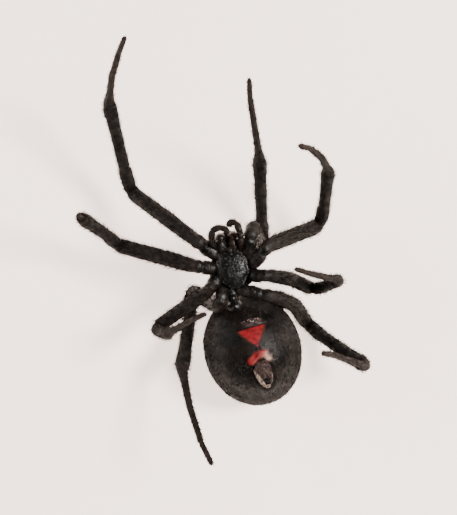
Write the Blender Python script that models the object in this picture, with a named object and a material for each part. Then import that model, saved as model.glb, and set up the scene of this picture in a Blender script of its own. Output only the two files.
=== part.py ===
"""A female black widow spider at life size, on its back in its hanging pose.

Sizes are millimetres in the body's own axes: +X is the spider's left, +Y its head end and +Z its belly
side. The body is then pitched head up and set on the floor, and the world is in metres.
"""
import math

import bmesh
import bpy
import numpy as np
from mathutils import Vector

# How the body lies: its head end is raised by this angle, and the abdomen's lowest point is at the origin.
PITCH = math.radians(10.0)
REST_POINT = (1.19, -4.775 * math.cos(PITCH) + 2.58 * math.sin(PITCH))
FLOOR_DEPTH = 6.262
GAP = 0.25

# Lengths of the segments of the legs, first pair to fourth: femur, patella, tibia, metatarsus, tarsus.
LENGTHS = {
    1: (6.30, 1.62, 4.86, 6.18, 1.86),
    2: (5.22, 1.26, 3.42, 4.56, 1.62),
    3: (4.20, 1.08, 2.46, 3.60, 1.44),
    4: (5.82, 1.44, 4.50, 5.58, 1.86),
}
# Half the thickness of coxa, femur, patella, tibia and foot for each pair.
THICKNESS = {
    1: (0.45, 0.43, 0.38, 0.35, 0.25),
    2: (0.41, 0.42, 0.36, 0.33, 0.25),
    3: (0.38, 0.40, 0.35, 0.33, 0.25),
    4: (0.39, 0.42, 0.39, 0.37, 0.25),
}
PARTS = ("coxa", "femur", "patella", "tibia", "foot")
# Share of that thickness along each part, as (share of the length, share of the thickness).
PROFILES = {
    "coxa": ((0.0, 0.50), (0.22, 0.72), (0.55, 1.0), (0.85, 1.0), (1.0, 0.92)),
    "femur": ((0.0, 0.84), (0.1, 0.94), (0.35, 1.0), (0.8, 0.97), (1.0, 0.88)),
    "patella": ((0.0, 0.92), (0.45, 1.0), (0.9, 0.96), (1.0, 0.88)),
    "tibia": ((0.0, 0.92), (0.35, 0.96), (0.65, 1.0), (0.92, 1.2), (0.97, 1.12), (1.0, 0.9)),
    "foot": ((0.0, 1.0), (0.12, 0.96), (0.55, 0.9), (0.77, 0.86), (0.95, 0.62), (1.0, 0.34)),
}
# Each leg: its root, the length of coxa and trochanter, and azimuth and elevation in degrees of coxa,
# femur, patella, tibia, metatarsus and tarsus.
POSE = {
    "left_leg_1": (
        (0.9, 0.98, -0.36), 1.59,
        ((80, 10), (-51.5, -81), (90.5, 39), (92.5, 38), (100, 56), (93.5, 55.5)),
    ),
    "left_leg_2": (
        (1.2, 0.39, -0.36), 1.44,
        ((50.5, 12), (24, -48.5), (74, 34.5), (85, 51.5), (133, 68.5), (169, 64)),
    ),
    "left_leg_3": (
        (1.26, -0.3, -0.36), 0.82,
        ((2.5, 17), (-15.5, -45.5), (6.5, 57), (27.5, 67.5), (166.5, 61), (164, 47.5)),
    ),
    "left_leg_4": (
        (0.50, -1.17, -0.34), 1.90,
        ((-11, -2), (-37.5, -61), (-41.5, 41.5), (-34.5, 47), (159, 68), (167.5, 66)),
    ),
    "right_leg_1": (
        (-1.0, 0.97, -0.36), 1.65,
        ((144.5, 6), (142.5, -39.5), (107, 29), (102.5, 35.5), (74.5, 62.5), (63, 62)),
    ),
    "right_leg_2": (
        (-1.17, 0.15, -0.36), 1.15,
        ((172.5, 12), (164.5, -20.5), (137, 54), (144.5, 60), (62.5, 89), (107, 87.5)),
    ),
    "right_leg_3": (
        (-1.02, -0.51, -0.36), 0.78,
        ((-123.5, 13.5), (-143.5, -24.5), (-60, 78), (-11, 77.5), (30.5, 62), (25.5, 53.5)),
    ),
    "right_leg_4": (
        (-0.64, -1.19, -0.46), 0.82,
        ((-102.5, 19), (167.5, -72), (-93, 34.5), (-98, 44), (-74.5, 37.5), (-62.5, 41.5)),
    ),
}
# How far the middle of a segment bows to the left of its own direction, by leg and segment, femur 1.
BOWS = {
    "left_leg_2": {4: -0.18},
    "left_leg_3": {1: 0.16},
    "left_leg_4": {1: 0.40},
    "right_leg_1": {4: 0.13},
    "right_leg_4": {4: -0.12},
}
BEND_RADIUS = (0.62, 0.62, 0.70, 0.50, 0.60)
BOW_RADIUS = 4.0
LEG_SIDES = 14

# Head and thorax: the outline turns a little to the spider's right.
HEAD_YAW = math.radians(8.0)
STERNUM = (0.98, 1.20)
STERNUM_MIDDLE = 0.10
STERNUM_LEVELS = (
    (-1.5, 0.95), (-0.9, 0.97), (-0.45, 0.98), (-0.12, 1.0), (0.02, 0.97), (0.11, 0.78), (0.16, 0.4),
)
CARAPACE_LENGTH = (1.20, 2.46)
CARAPACE_WIDTH = 1.48
HEAD_WIDTH = 0.74
CARAPACE_RIM = -1.06
CARAPACE_TOP = -2.20
CARAPACE_LEVELS = (
    (0.0, 0.9), (0.04, 0.97), (0.16, 1.0), (0.38, 0.95),
    (0.62, 0.82), (0.82, 0.60), (0.95, 0.33), (1.0, 0.14),
)

# Joints of the palps from root to tip.
PALPS = {
    "left": (
        (0.22, 1.42, 0.52), (0.44, 1.75, 0.48), (0.44, 2.20, 0.42), (0.26, 2.76, 0.34),
        (0.02, 2.94, 0.30), (-0.22, 2.84, 0.26), (-0.22, 2.64, 0.24),
    ),
    "right": (
        (-0.78, 1.38, 0.52), (-1.12, 1.62, 0.46), (-1.30, 2.02, 0.42), (-1.20, 2.42, 0.48),
        (-0.80, 2.60, 0.58), (-0.38, 2.42, 0.70), (-0.42, 2.10, 0.72),
    ),
}

# Abdomen: centre, half sizes across, along and deep, and the turn of its long axis.
ABDOMEN_CENTRE = (1.19, -4.775, -2.58)
ABDOMEN_SIZE = (2.94, 3.44, 2.94)
ABDOMEN_YAW = math.radians(19.0)
SPINNERET_POINT = (0.22, -1.38)
SPINNERET_FACET = 0.10

SLOTS = {
    "cuticle": ((0.018, 0.015, 0.013), 0.38),
    "abdomen": ((0.014, 0.012, 0.012), 0.33),
    "tarsus": ((0.045, 0.026, 0.018), 0.5),
}


def clear_scene():
    for obj in list(bpy.data.objects):
        bpy.data.objects.remove(obj, do_unlink=True)


def to_world(point):
    """The pitched body, set down over the origin, in metres and no lower than the floor."""
    x, y, z = point
    forward = y * math.cos(PITCH) - z * math.sin(PITCH)
    up = y * math.sin(PITCH) + z * math.cos(PITCH)
    height = max(up + FLOOR_DEPTH, 0.0)
    return ((x - REST_POINT[0]) / 1000, (forward - REST_POINT[1]) / 1000, height / 1000)


def make_object(name, points, faces, slot):
    mesh = bpy.data.meshes.new(name)
    mesh.from_pydata([to_world(p) for p in points], [], faces)
    mesh.update()
    obj = bpy.data.objects.new(name, mesh)
    bpy.context.scene.collection.objects.link(obj)
    finish(obj, slot)
    return obj


def finish(obj, slot):
    """Outward faces, smooth shading and the node's own material."""
    work = bmesh.new()
    work.from_mesh(obj.data)
    if work.calc_volume(signed=True) < 0:
        bmesh.ops.reverse_faces(work, faces=work.faces)
    work.to_mesh(obj.data)
    work.free()
    obj.data.shade_smooth()
    obj.data.set_sharp_from_angle(angle=math.radians(50))
    colour, roughness = SLOTS[slot]
    material = bpy.data.materials.new(obj.name + "_" + slot)
    material.use_nodes = True
    shader = material.node_tree.nodes["Principled BSDF"]
    shader.inputs["Base Color"].default_value = (*colour, 1.0)
    shader.inputs["Roughness"].default_value = roughness
    shader.inputs["Metallic"].default_value = 0.0
    obj.data.materials.clear()
    obj.data.materials.append(material)


def loft(name, rings, slot):
    """A closed skin over rings of points, with a fan over each end."""
    sides = len(rings[0])
    points = [p for ring in rings for p in ring]
    faces = []
    for i in range(len(rings) - 1):
        for j in range(sides):
            k = (j + 1) % sides
            faces.append((i * sides + j, i * sides + k, (i + 1) * sides + k, (i + 1) * sides + j))
    for first, flip in ((0, True), ((len(rings) - 1) * sides, False)):
        centre = len(points)
        points.append(tuple(np.mean(points[first:first + sides], axis=0)))
        for j in range(sides):
            pair = (first + j, first + (j + 1) % sides)
            faces.append((*(reversed(pair) if flip else pair), centre))
    return make_object(name, points, faces, slot)


def fuse(pieces, slot):
    """Joins closed pieces into the first of them and keeps the largest closed surface."""
    target = pieces[0]
    others = bpy.data.collections.new(target.name + "_pieces")
    bpy.context.scene.collection.children.link(others)
    for piece in pieces[1:]:
        bpy.context.scene.collection.objects.unlink(piece)
        others.objects.link(piece)
    union = target.modifiers.new("union", "BOOLEAN")
    union.operation = "UNION"
    union.operand_type = "COLLECTION"
    union.collection = others
    union.solver = "EXACT"
    graph = bpy.context.evaluated_depsgraph_get()
    joined = bpy.data.meshes.new_from_object(target.evaluated_get(graph))
    target.modifiers.clear()
    target.data = joined
    for piece in pieces[1:]:
        bpy.data.objects.remove(piece, do_unlink=True)
    bpy.data.collections.remove(others)
    keep_largest(target)
    finish(target, slot)
    return target


def keep_largest(obj):
    work = bmesh.new()
    work.from_mesh(obj.data)
    bmesh.ops.remove_doubles(work, verts=work.verts, dist=1e-7)
    left = set(work.verts)
    shells = []
    while left:
        queue = [left.pop()]
        shell = set(queue)
        while queue:
            for edge in queue.pop().link_edges:
                for vert in edge.verts:
                    if vert in left:
                        left.remove(vert)
                        shell.add(vert)
                        queue.append(vert)
        shells.append(shell)
    largest = max(shells, key=len)
    loose = [v for v in work.verts if v not in largest]
    bmesh.ops.delete(work, geom=loose, context="VERTS")
    bmesh.ops.triangulate(work, faces=[f for f in work.faces if len(f.verts) > 4])
    work.to_mesh(obj.data)
    work.free()


def direction(azimuth, elevation):
    a = math.radians(azimuth)
    e = math.radians(elevation)
    return Vector((math.cos(a) * math.cos(e), math.sin(a) * math.cos(e), math.sin(e)))


def rounded_path(corners, radii):
    """Points along a line with rounded corners, the length at each point, and the length at each corner."""
    moved = [Vector(c) for c in corners]
    for i in range(1, len(corners) - 1):
        before = (corners[i] - corners[i - 1]).normalized()
        after = (corners[i + 1] - corners[i]).normalized()
        half = before.angle(after) / 2
        if half > 0.01:
            moved[i] += (before - after).normalized() * radii[i - 1] * (1 / math.cos(half) - 1)
    points = [moved[0]]
    marks = [0]
    for i in range(1, len(moved) - 1):
        before = (moved[i] - moved[i - 1]).normalized()
        after = (moved[i + 1] - moved[i]).normalized()
        half = before.angle(after) / 2
        room = min((moved[i] - moved[i - 1]).length, (moved[i + 1] - moved[i]).length)
        cut = min(radii[i - 1] * math.tan(half), 0.48 * room)
        steps = 2 * max(1, math.ceil(math.degrees(half) / 14))
        for k in range(steps + 1):
            t = k / steps
            start = moved[i] - before * cut
            end = moved[i] + after * cut
            weight = math.cos(half)
            curve = start * (1 - t) ** 2 + moved[i] * 2 * t * (1 - t) * weight + end * t ** 2
            points.append(curve / ((1 - t) ** 2 + 2 * t * (1 - t) * weight + t ** 2))
            if k == steps // 2:
                marks.append(len(points) - 1)
    points.append(moved[-1])
    marks.append(len(points) - 1)
    lengths = [0.0]
    for a, b in zip(points, points[1:]):
        lengths.append(lengths[-1] + (b - a).length)
    return points, lengths, [lengths[m] for m in marks]


def along(points, lengths, s):
    """Place and heading at a length along the path."""
    i = int(np.searchsorted(lengths, s, side="right")) - 1
    i = min(max(i, 0), len(points) - 2)
    share = (s - lengths[i]) / (lengths[i + 1] - lengths[i])
    ahead = (points[i + 1] - points[i]).normalized()
    if share < 0.5 and i > 0:
        other = (points[i] - points[i - 1]).normalized()
        heading = other.lerp(ahead, 0.5 + share)
    elif share >= 0.5 and i < len(points) - 2:
        other = (points[i + 2] - points[i + 1]).normalized()
        heading = ahead.lerp(other, share - 0.5)
    else:
        heading = ahead
    return points[i].lerp(points[i + 1], share), heading.normalized()


def profile_at(profile, t):
    return float(np.interp(t, [p[0] for p in profile], [p[1] for p in profile]))


def limb_ring(centre, heading, side, radius, sides):
    up = heading.cross(side)
    ring = []
    for j in range(sides):
        angle = 2 * math.pi * j / sides
        ring.append(tuple(centre + (side * math.cos(angle) + up * math.sin(angle)) * radius))
    return ring


def tube(name, path, span, thickness, profile, slot, sides=LEG_SIDES, step=0.62, inset=0.0):
    """A closed round limb over a span of a path, with flat ends set in from the joint planes."""
    start, end = span
    points, lengths = path
    first, first_heading = along(points, lengths, start)
    last, last_heading = along(points, lengths, end)
    first = first + first_heading * inset
    last = last - last_heading * inset
    stops = {s for s in lengths if start + 0.05 < s < end - 0.05}
    stops.update(start + (end - start) * p[0] for p in profile[1:-1])
    side = first_heading.cross(Vector((0.3, 0.2, 0.93))).normalized()
    rings = [limb_ring(first, first_heading, side, thickness * profile[0][1], sides)]
    reached = start
    for s in [*sorted(stops), end]:
        count = max(1, math.ceil((s - reached) / step)) if s - reached > step else 1
        for k in range(1, count + 1):
            spot = reached + (s - reached) * k / count
            if spot > end - 0.04 or spot - reached < 0.05 and count == 1:
                continue
            centre, heading = along(points, lengths, spot)
            turned = (side - heading * side.dot(heading)).normalized()
            radius = thickness * profile_at(profile, (spot - start) / (end - start))
            ring = limb_ring(centre, heading, turned, radius, sides)
            ahead = min((Vector(p) - first).dot(first_heading) for p in ring)
            behind = min((last - Vector(p)).dot(last_heading) for p in ring)
            if (ahead > 0.05 or spot - start > 1.4) and (behind > 0.05 or end - spot > 1.4):
                rings.append(ring)
                side = turned
        reached = s
    side = (side - last_heading * side.dot(last_heading)).normalized()
    rings.append(limb_ring(last, last_heading, side, thickness * profile[-1][1], sides))
    return loft(name, rings, slot)


def leg_corners(leg):
    """Corners of a leg from root to tip, its bend radii, and which corners are joints and not bows."""
    root, coxa, angles = POSE[leg]
    lengths = (coxa, *LENGTHS[int(leg[-1])])
    corners = [Vector(root)]
    radii = []
    joints = [0]
    for i, (length, angle) in enumerate(zip(lengths, angles)):
        heading = direction(*angle)
        start = corners[-1]
        end = start + heading * length
        if i in BOWS.get(leg, {}):
            across = Vector((-heading.y, heading.x, 0.0)).normalized()
            corners.append(start.lerp(end, 0.5) + across * BOWS[leg][i])
            radii.append(BOW_RADIUS)
        corners.append(end)
        joints.append(len(corners) - 1)
        if i < len(BEND_RADIUS):
            radii.append(BEND_RADIUS[i])
    return corners, radii, joints


def make_leg(leg):
    corners, radii, joints = leg_corners(leg)
    points, lengths, marks = rounded_path(corners, radii)
    stops = [marks[j] for j in joints]
    spans = list(zip(stops, stops[1:4] + [stops[4], stops[6]]))
    for part, span, thickness in zip(PARTS, spans, THICKNESS[int(leg[-1])]):
        slot = "tarsus" if part == "foot" else "cuticle"
        tube(leg + "_" + part, (points, lengths), span, thickness, PROFILES[part], slot, inset=GAP / 2)


def outline(angle, front, back, half_width, head_width):
    """A point of the head and thorax's outline: an oval that narrows to the head."""
    y = math.sin(angle)
    x = math.cos(angle)
    along_axis = y * (front if y > 0 else back)
    narrow = 0.5 - 0.5 * math.cos(math.pi * max(y, 0.0))
    fullness = 0.8 if y > 0 else 1.0
    side = math.copysign(abs(x) ** fullness, x) * (half_width * (1 - narrow) + head_width * narrow)
    return side, along_axis


def yawed(x, y):
    c = math.cos(HEAD_YAW)
    s = math.sin(HEAD_YAW)
    return x * c - y * s, x * s + y * c


def make_prosoma():
    sides = 32
    core = []
    for z, scale in STERNUM_LEVELS:
        ring = []
        for j in range(sides):
            angle = 2 * math.pi * j / sides
            heart = 1 - 0.30 * max(-math.sin(angle), 0) ** 2
            x = STERNUM[0] * math.cos(angle) * heart * scale
            y = STERNUM_MIDDLE + STERNUM[1] * math.sin(angle) * scale
            ring.append((x, y, z))
        core.append(ring)
    pieces = [loft("prosoma", core, "cuticle")]
    shell = []
    depth = CARAPACE_RIM - CARAPACE_TOP
    for share, scale in CARAPACE_LEVELS:
        ring = []
        for j in range(sides):
            angle = 2 * math.pi * j / sides
            x, y = outline(angle, CARAPACE_LENGTH[1], CARAPACE_LENGTH[0], CARAPACE_WIDTH, HEAD_WIDTH)
            middle = 0.55
            ring.append((*yawed(x * scale, middle + (y - middle) * scale), CARAPACE_RIM - depth * share))
        shell.append(ring)
    pieces.append(loft("carapace", shell, "cuticle"))
    for name, start, end, radius in (
        ("endite_left", (0.08, 0.95, -0.30), (0.06, 1.66, -0.16), 0.25),
        ("endite_right", (-0.50, 0.92, -0.30), (-0.58, 1.50, -0.16), 0.25),
        ("labium", (-0.22, 0.90, -0.10), (-0.25, 1.40, 0.0), 0.20),
        ("mouth_root", (-0.22, 1.25, -1.3), (-0.22, 1.30, -0.35), 0.36),
    ):
        profile = ((0.0, 0.9), (0.5, 1.0), (0.85, 0.9), (1.0, 0.55))
        pieces.append(straight_tube(name, start, end, radius, profile, "cuticle"))
    for row, (z, scale, spread) in enumerate(((-1.36, 0.985, (0.17, 0.50)), (-1.66, 0.90, (0.20, 0.56)))):
        for k, x in enumerate(spread):
            for sign in (-1, 1):
                middle = 0.55
                front = middle + (CARAPACE_LENGTH[1] - middle) * scale * (1 - 0.09 * k)
                px, py = yawed(sign * x, front - 0.05)
                pieces.append(dome(f"eye_{row}_{k}_{sign}", (px, py, z), 0.10))
    return fuse(pieces, "cuticle")


def dome(name, centre, radius):
    rings = []
    for i in range(1, 8):
        polar = math.pi * i / 8
        ring = []
        for j in range(10):
            angle = 2 * math.pi * j / 10
            ring.append((
                centre[0] + radius * math.sin(polar) * math.cos(angle),
                centre[1] + radius * math.cos(polar),
                centre[2] + radius * math.sin(polar) * math.sin(angle),
            ))
        rings.append(ring)
    return loft(name, rings, "cuticle")


def straight_tube(name, start, end, thickness, profile, slot, sides=12, step=0.3):
    a = Vector(start)
    b = Vector(end)
    length = (b - a).length
    return tube(name, ([a, b], [0.0, length]), (0.0, length), thickness, profile, slot, sides, step)


def make_chelicera(side, x, y):
    profile = ((0.0, 0.95), (0.3, 1.0), (0.75, 0.92), (0.93, 0.72), (1.0, 0.4))
    name = "chelicera_" + side
    base = straight_tube(name, (x, y, CARAPACE_RIM + GAP), (x, y, 0.08), 0.235, profile, "cuticle")
    inward = -0.12 if side == "left" else 0.12
    taper = ((0.0, 1.0), (0.6, 0.75), (1.0, 0.35))
    tip = (x + inward, y - 0.12, 0.22)
    fang = straight_tube(name + "_fang", (x, y, -0.05), tip, 0.09, taper, "cuticle", 8, 0.1)
    return fuse([base, fang], "cuticle")


def make_palp(side, corners):
    corners = [Vector(c) for c in corners]
    points, lengths, _ = rounded_path(corners, [0.3] * (len(corners) - 2))
    profile = ((0.0, 0.85), (0.12, 1.0), (0.8, 0.92), (0.94, 0.7), (1.0, 0.35))
    tube("palp_" + side, (points, lengths), (0.0, lengths[-1]), 0.2, profile, "tarsus", 12, 0.3)


def abdomen_point(across, forward, up):
    c = math.cos(ABDOMEN_YAW)
    s = math.sin(ABDOMEN_YAW)
    cx, cy, cz = ABDOMEN_CENTRE
    return cx + across * c - forward * s, cy + across * s + forward * c, cz + up


def spinneret_frame():
    """Foot and outward direction of the spinnerets on the abdomen's belly side."""
    a, b, c = ABDOMEN_SIZE
    across, forward = SPINNERET_POINT
    up = c * math.sqrt(1 - (across / a) ** 2 - (forward / b) ** 2)
    foot = Vector(abdomen_point(across, forward, up))
    tip = Vector(abdomen_point(across + across / a ** 2, forward + forward / b ** 2, up + up / c ** 2))
    return foot, (tip - foot).normalized()


def make_abdomen():
    a, b, c = ABDOMEN_SIZE
    rings = []
    count = 26
    sides = 32
    foot, normal = spinneret_frame()
    for i in range(1, count):
        polar = math.pi * i / count
        ring = []
        for j in range(sides):
            angle = 2 * math.pi * j / sides
            spot = Vector(abdomen_point(
                a * math.sin(polar) * math.cos(angle),
                b * math.cos(polar),
                c * math.sin(polar) * math.sin(angle),
            ))
            above = (spot - foot).dot(normal) + SPINNERET_FACET
            if above > 0:
                spot -= normal * above
            ring.append(tuple(spot))
        rings.append(ring)
    body = loft("abdomen", rings, "abdomen")
    stalk = ((0.0, 0.9), (0.2, 1.0), (0.7, 1.0), (1.0, 1.3))
    ends = ((-0.02, -1.42, -0.75), (0.30, -3.0, -1.35))
    pedicel = straight_tube("pedicel", *ends, 0.31, stalk, "abdomen", 16, 0.4)
    return fuse([body, pedicel], "abdomen")


def make_spinnerets():
    foot, normal = spinneret_frame()
    side = normal.cross(Vector((0, 1, 0))).normalized()
    back = side.cross(normal)
    if back.y > 0:
        back = -back
    base = foot + normal * (GAP - SPINNERET_FACET)
    mound = ((0.0, 1.0), (0.5, 0.96), (1.0, 0.7))
    top = base + normal * 0.2 + back * 0.05
    pieces = [straight_tube("spinnerets", base, top, 0.52, mound, "abdomen", 20, 0.1)]
    cone = ((0.0, 1.0), (0.6, 0.85), (0.9, 0.6), (1.0, 0.4))
    for across, rear, thick, length in (
        (0.22, -0.14, 0.21, 0.62),
        (-0.22, -0.14, 0.21, 0.62),
        (0.18, 0.22, 0.18, 0.80),
        (-0.18, 0.22, 0.18, 0.80),
    ):
        root = base + normal * 0.08 + side * across + back * rear
        tip = root + normal * length * 0.52 + back * length * 0.85 - side * across * 0.45
        pieces.append(straight_tube(f"spinneret_{across}_{rear}", root, tip, thick, cone, "abdomen", 10, 0.2))
    return fuse(pieces, "abdomen")


def main():
    clear_scene()
    make_prosoma()
    make_chelicera("left", -0.03, 2.10)
    make_chelicera("right", -0.69, 1.98)
    for side, corners in PALPS.items():
        make_palp(side, corners)
    make_abdomen()
    make_spinnerets()
    for leg in POSE:
        make_leg(leg)


main()
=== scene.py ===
"""The looks of a female black widow spider that lies on its back, built round its solids.

Lengths are millimetres in the body's own axes: +X is the spider's left, +Y its head end and +Z its belly
side. body_to_world pitches the body, sets it on the floor and turns millimetres into metres.
"""
import math

import bmesh
import bpy
import numpy as np
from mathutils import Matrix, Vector


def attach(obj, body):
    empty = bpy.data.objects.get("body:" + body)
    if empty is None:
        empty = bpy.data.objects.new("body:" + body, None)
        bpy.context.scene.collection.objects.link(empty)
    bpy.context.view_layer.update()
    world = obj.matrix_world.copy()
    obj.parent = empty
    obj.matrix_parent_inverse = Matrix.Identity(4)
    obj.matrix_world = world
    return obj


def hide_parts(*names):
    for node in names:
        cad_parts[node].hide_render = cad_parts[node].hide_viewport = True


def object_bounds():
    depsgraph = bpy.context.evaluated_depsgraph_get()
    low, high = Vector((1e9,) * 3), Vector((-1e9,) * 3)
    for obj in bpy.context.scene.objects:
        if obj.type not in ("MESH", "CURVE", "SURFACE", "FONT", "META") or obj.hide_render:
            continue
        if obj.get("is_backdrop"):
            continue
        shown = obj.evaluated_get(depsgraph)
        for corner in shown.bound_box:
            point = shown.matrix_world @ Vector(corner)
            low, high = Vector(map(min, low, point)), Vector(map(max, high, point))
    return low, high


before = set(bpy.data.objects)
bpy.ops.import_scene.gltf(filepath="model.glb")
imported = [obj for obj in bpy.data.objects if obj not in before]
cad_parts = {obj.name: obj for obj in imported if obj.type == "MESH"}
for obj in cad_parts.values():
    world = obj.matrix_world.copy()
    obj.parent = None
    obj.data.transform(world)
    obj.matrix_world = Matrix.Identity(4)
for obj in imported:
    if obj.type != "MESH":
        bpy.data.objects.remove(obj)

CAD_LOW, CAD_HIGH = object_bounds()

# How the body lies, as in its solids.
PITCH = math.radians(10.0)
REST_POINT = (1.19, -4.775 * math.cos(PITCH) + 2.58 * math.sin(PITCH))
FLOOR_DEPTH = 6.262
MM = 0.001
TURN = 2 * math.pi

# Lengths of the segments of the legs, first pair to fourth: femur, patella, tibia, metatarsus, tarsus.
LENGTHS = {
    1: (6.30, 1.62, 4.86, 6.18, 1.86),
    2: (5.22, 1.26, 3.42, 4.56, 1.62),
    3: (4.20, 1.08, 2.46, 3.60, 1.44),
    4: (5.82, 1.44, 4.50, 5.58, 1.86),
}
# Half the thickness of coxa, femur, patella, tibia, metatarsus and tarsus for each pair.
THICKNESS = {
    1: (0.44, 0.425, 0.38, 0.352, 0.185, 0.150),
    2: (0.41, 0.440, 0.38, 0.350, 0.195, 0.155),
    3: (0.39, 0.400, 0.35, 0.335, 0.185, 0.150),
    4: (0.39, 0.420, 0.39, 0.378, 0.195, 0.160),
}
# Share of that thickness along each segment, as (share of the length, share of the thickness).
PROFILES = {
    "coxa": (
        (0.0, 0.42), (0.10, 0.74), (0.24, 0.98), (0.48, 1.05), (0.64, 1.0), (0.70, 0.86), (0.72, 0.82),
        (0.76, 0.93), (0.86, 1.02), (0.94, 0.97), (0.99, 0.88),
    ),
    "femur": ((0.0, 0.88), (0.02, 0.93), (0.08, 0.97), (0.35, 1.03), (0.8, 1.0), (0.94, 0.99), (0.98, 0.94)),
    "patella": ((0.0, 0.90), (0.08, 0.97), (0.5, 1.05), (0.86, 1.01), (0.96, 0.95)),
    "tibia": (
        (0.0, 0.88), (0.03, 0.94), (0.35, 0.98), (0.65, 1.03), (0.88, 1.2), (0.94, 1.17), (0.98, 0.98),
    ),
    "metatarsus": (
        (0.0, 1.85), (0.04, 1.68), (0.08, 1.42), (0.15, 1.20), (0.3, 1.08), (0.6, 0.98), (0.96, 0.90),
    ),
    "tarsus": ((0.0, 0.90), (0.04, 1.04), (0.4, 1.0), (0.8, 0.92), (0.94, 0.84), (0.985, 0.66)),
}
SEGMENTS = tuple(PROFILES)
# Each leg: its root, the length of coxa and trochanter, and azimuth and elevation in degrees of coxa,
# femur, patella, tibia, metatarsus and tarsus.
POSE = {
    "left_leg_1": (
        (0.9, 0.98, -0.36), 1.59,
        ((80, 10), (-51.5, -81), (90.5, 39), (92.5, 38), (100, 56), (93.5, 55.5)),
    ),
    "left_leg_2": (
        (1.2, 0.39, -0.36), 1.44,
        ((50.5, 12), (24, -48.5), (74, 34.5), (85, 51.5), (133, 68.5), (169, 64)),
    ),
    "left_leg_3": (
        (1.26, -0.3, -0.36), 0.82,
        ((2.5, 17), (-15.5, -45.5), (6.5, 57), (27.5, 67.5), (166.5, 61), (164, 47.5)),
    ),
    "left_leg_4": (
        (0.50, -1.17, -0.34), 1.90,
        ((-11, -2), (-37.5, -61), (-41.5, 41.5), (-34.5, 47), (159, 68), (167.5, 66)),
    ),
    "right_leg_1": (
        (-1.0, 0.97, -0.36), 1.65,
        ((144.5, 6), (142.5, -39.5), (107, 29), (102.5, 35.5), (74.5, 62.5), (63, 62)),
    ),
    "right_leg_2": (
        (-1.17, 0.15, -0.36), 1.15,
        ((172.5, 12), (164.5, -20.5), (137, 54), (144.5, 60), (62.5, 89), (107, 87.5)),
    ),
    "right_leg_3": (
        (-1.02, -0.51, -0.36), 0.78,
        ((-123.5, 13.5), (-143.5, -24.5), (-60, 78), (-11, 77.5), (30.5, 62), (25.5, 53.5)),
    ),
    "right_leg_4": (
        (-0.64, -1.19, -0.46), 0.82,
        ((-102.5, 19), (167.5, -72), (-93, 34.5), (-98, 44), (-74.5, 37.5), (-62.5, 41.5)),
    ),
}
# How far the middle of a segment bows to the left of its own direction, by leg and segment, femur 1.
BOWS = {
    "left_leg_2": {4: -0.18},
    "left_leg_3": {1: 0.16},
    "left_leg_4": {1: 0.40},
    "right_leg_1": {4: 0.13},
    "right_leg_4": {4: -0.12},
}
# How widely the legs round their corners: at the joints, and over a bow.
BEND_RADIUS = (0.62, 0.62, 0.70, 0.50, 0.60)
BOW_RADIUS = 4.0
TIP_RADIUS = 0.075
# How far the coxae reach in under the sternum's edge.
ROOT_DEPTH = 0.32
RING_STEP = 0.05
LEG_SIDES = 32

# Length, share of standing hairs and number to a square millimetre on each segment of a leg.
LEG_HAIRS = {
    "coxa": (0.19, 0.14, 65),
    "femur": (0.19, 0.26, 115),
    "patella": (0.20, 0.28, 115),
    "tibia": (0.20, 0.28, 120),
    "metatarsus": (0.15, 0.22, 160),
    "tarsus": (0.13, 0.14, 175),
}
# A hair is a triangle of points at each of three levels, as shares of its length, and a tip.
HAIR_WIDTH = 0.0115
HAIR_LEVELS = (-0.05, 0.38, 0.74)
HAIR_TAPER = (1.0, 0.82, 0.48)
HAIR_POINTS = 10
# How far hairs turn and sway at random, and the least droop of a hair and the most to add to it.
HAIR_TURN = 0.22
HAIR_SWAY = 0.09
HAIR_DROOP = (0.10, 0.22)
# How deep the hairs are rooted, and the size of a hair's patch on the unwrap.
HAIR_ROOT = 0.004
PATCH = 0.003

# Head and thorax.
HEAD_YAW = math.radians(8.0)
STERNUM = (1.0, 1.21)
STERNUM_MIDDLE = 0.09
CARAPACE_LENGTH = (1.20, 2.46)
CARAPACE_WIDTH = 1.48
HEAD_WIDTH = 0.74
CARAPACE_RIM = -1.06
CARAPACE_TOP = -2.20
CARAPACE_MIDDLE = 0.55
CARAPACE_LEVELS = (
    (0.0, 0.9), (0.04, 0.97), (0.16, 1.0), (0.38, 0.95),
    (0.62, 0.82), (0.82, 0.60), (0.95, 0.33), (1.0, 0.14),
)
# Height, share of the sternum's outline and how far its edge is scalloped.
STERNUM_RINGS = (
    (-1.5, 0.93, 0.0), (-0.9, 0.95, 0.0), (-0.45, 0.97, 0.0), (-0.20, 0.985, 0.6), (-0.09, 0.98, 1.0),
    (-0.045, 0.955, 1.0), (-0.040, 0.925, 1.0), (-0.062, 0.895, 1.0), (-0.02, 0.85, 0.8), (0.05, 0.76, 0.4),
    (0.105, 0.64, 0.2), (0.145, 0.48, 0.0), (0.168, 0.3, 0.0), (0.175, 0.12, 0.0),
)

PALPS = {
    "left": (
        (0.36, 1.12, -0.36), (0.44, 1.45, -0.02), (0.47, 1.78, 0.34), (0.44, 2.20, 0.42), (0.26, 2.76, 0.34),
        (0.02, 2.94, 0.30), (-0.22, 2.84, 0.26), (-0.22, 2.64, 0.24),
    ),
    "right": (
        (-1.00, 1.12, -0.40), (-1.12, 1.40, -0.06), (-1.22, 1.68, 0.28), (-1.30, 2.02, 0.42),
        (-1.20, 2.42, 0.48), (-0.80, 2.60, 0.58), (-0.40, 2.44, 0.68), (-0.38, 2.20, 0.70),
    ),
}

# Abdomen: centre, half sizes across, along and deep, the turn of its long axis, and its middle line.
ABDOMEN_CENTRE = (1.19, -4.775, -2.58)
ABDOMEN_SIZE = (2.94, 3.44, 2.94)
ABDOMEN_YAW = math.radians(19.0)
COAT_DEPTH = 0.02
ABDOMEN_HAIRS = 9000
MIDLINE = 0.30
FURROW = 1.38
SPINNERET_POINT = (0.22, -1.55)
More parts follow.
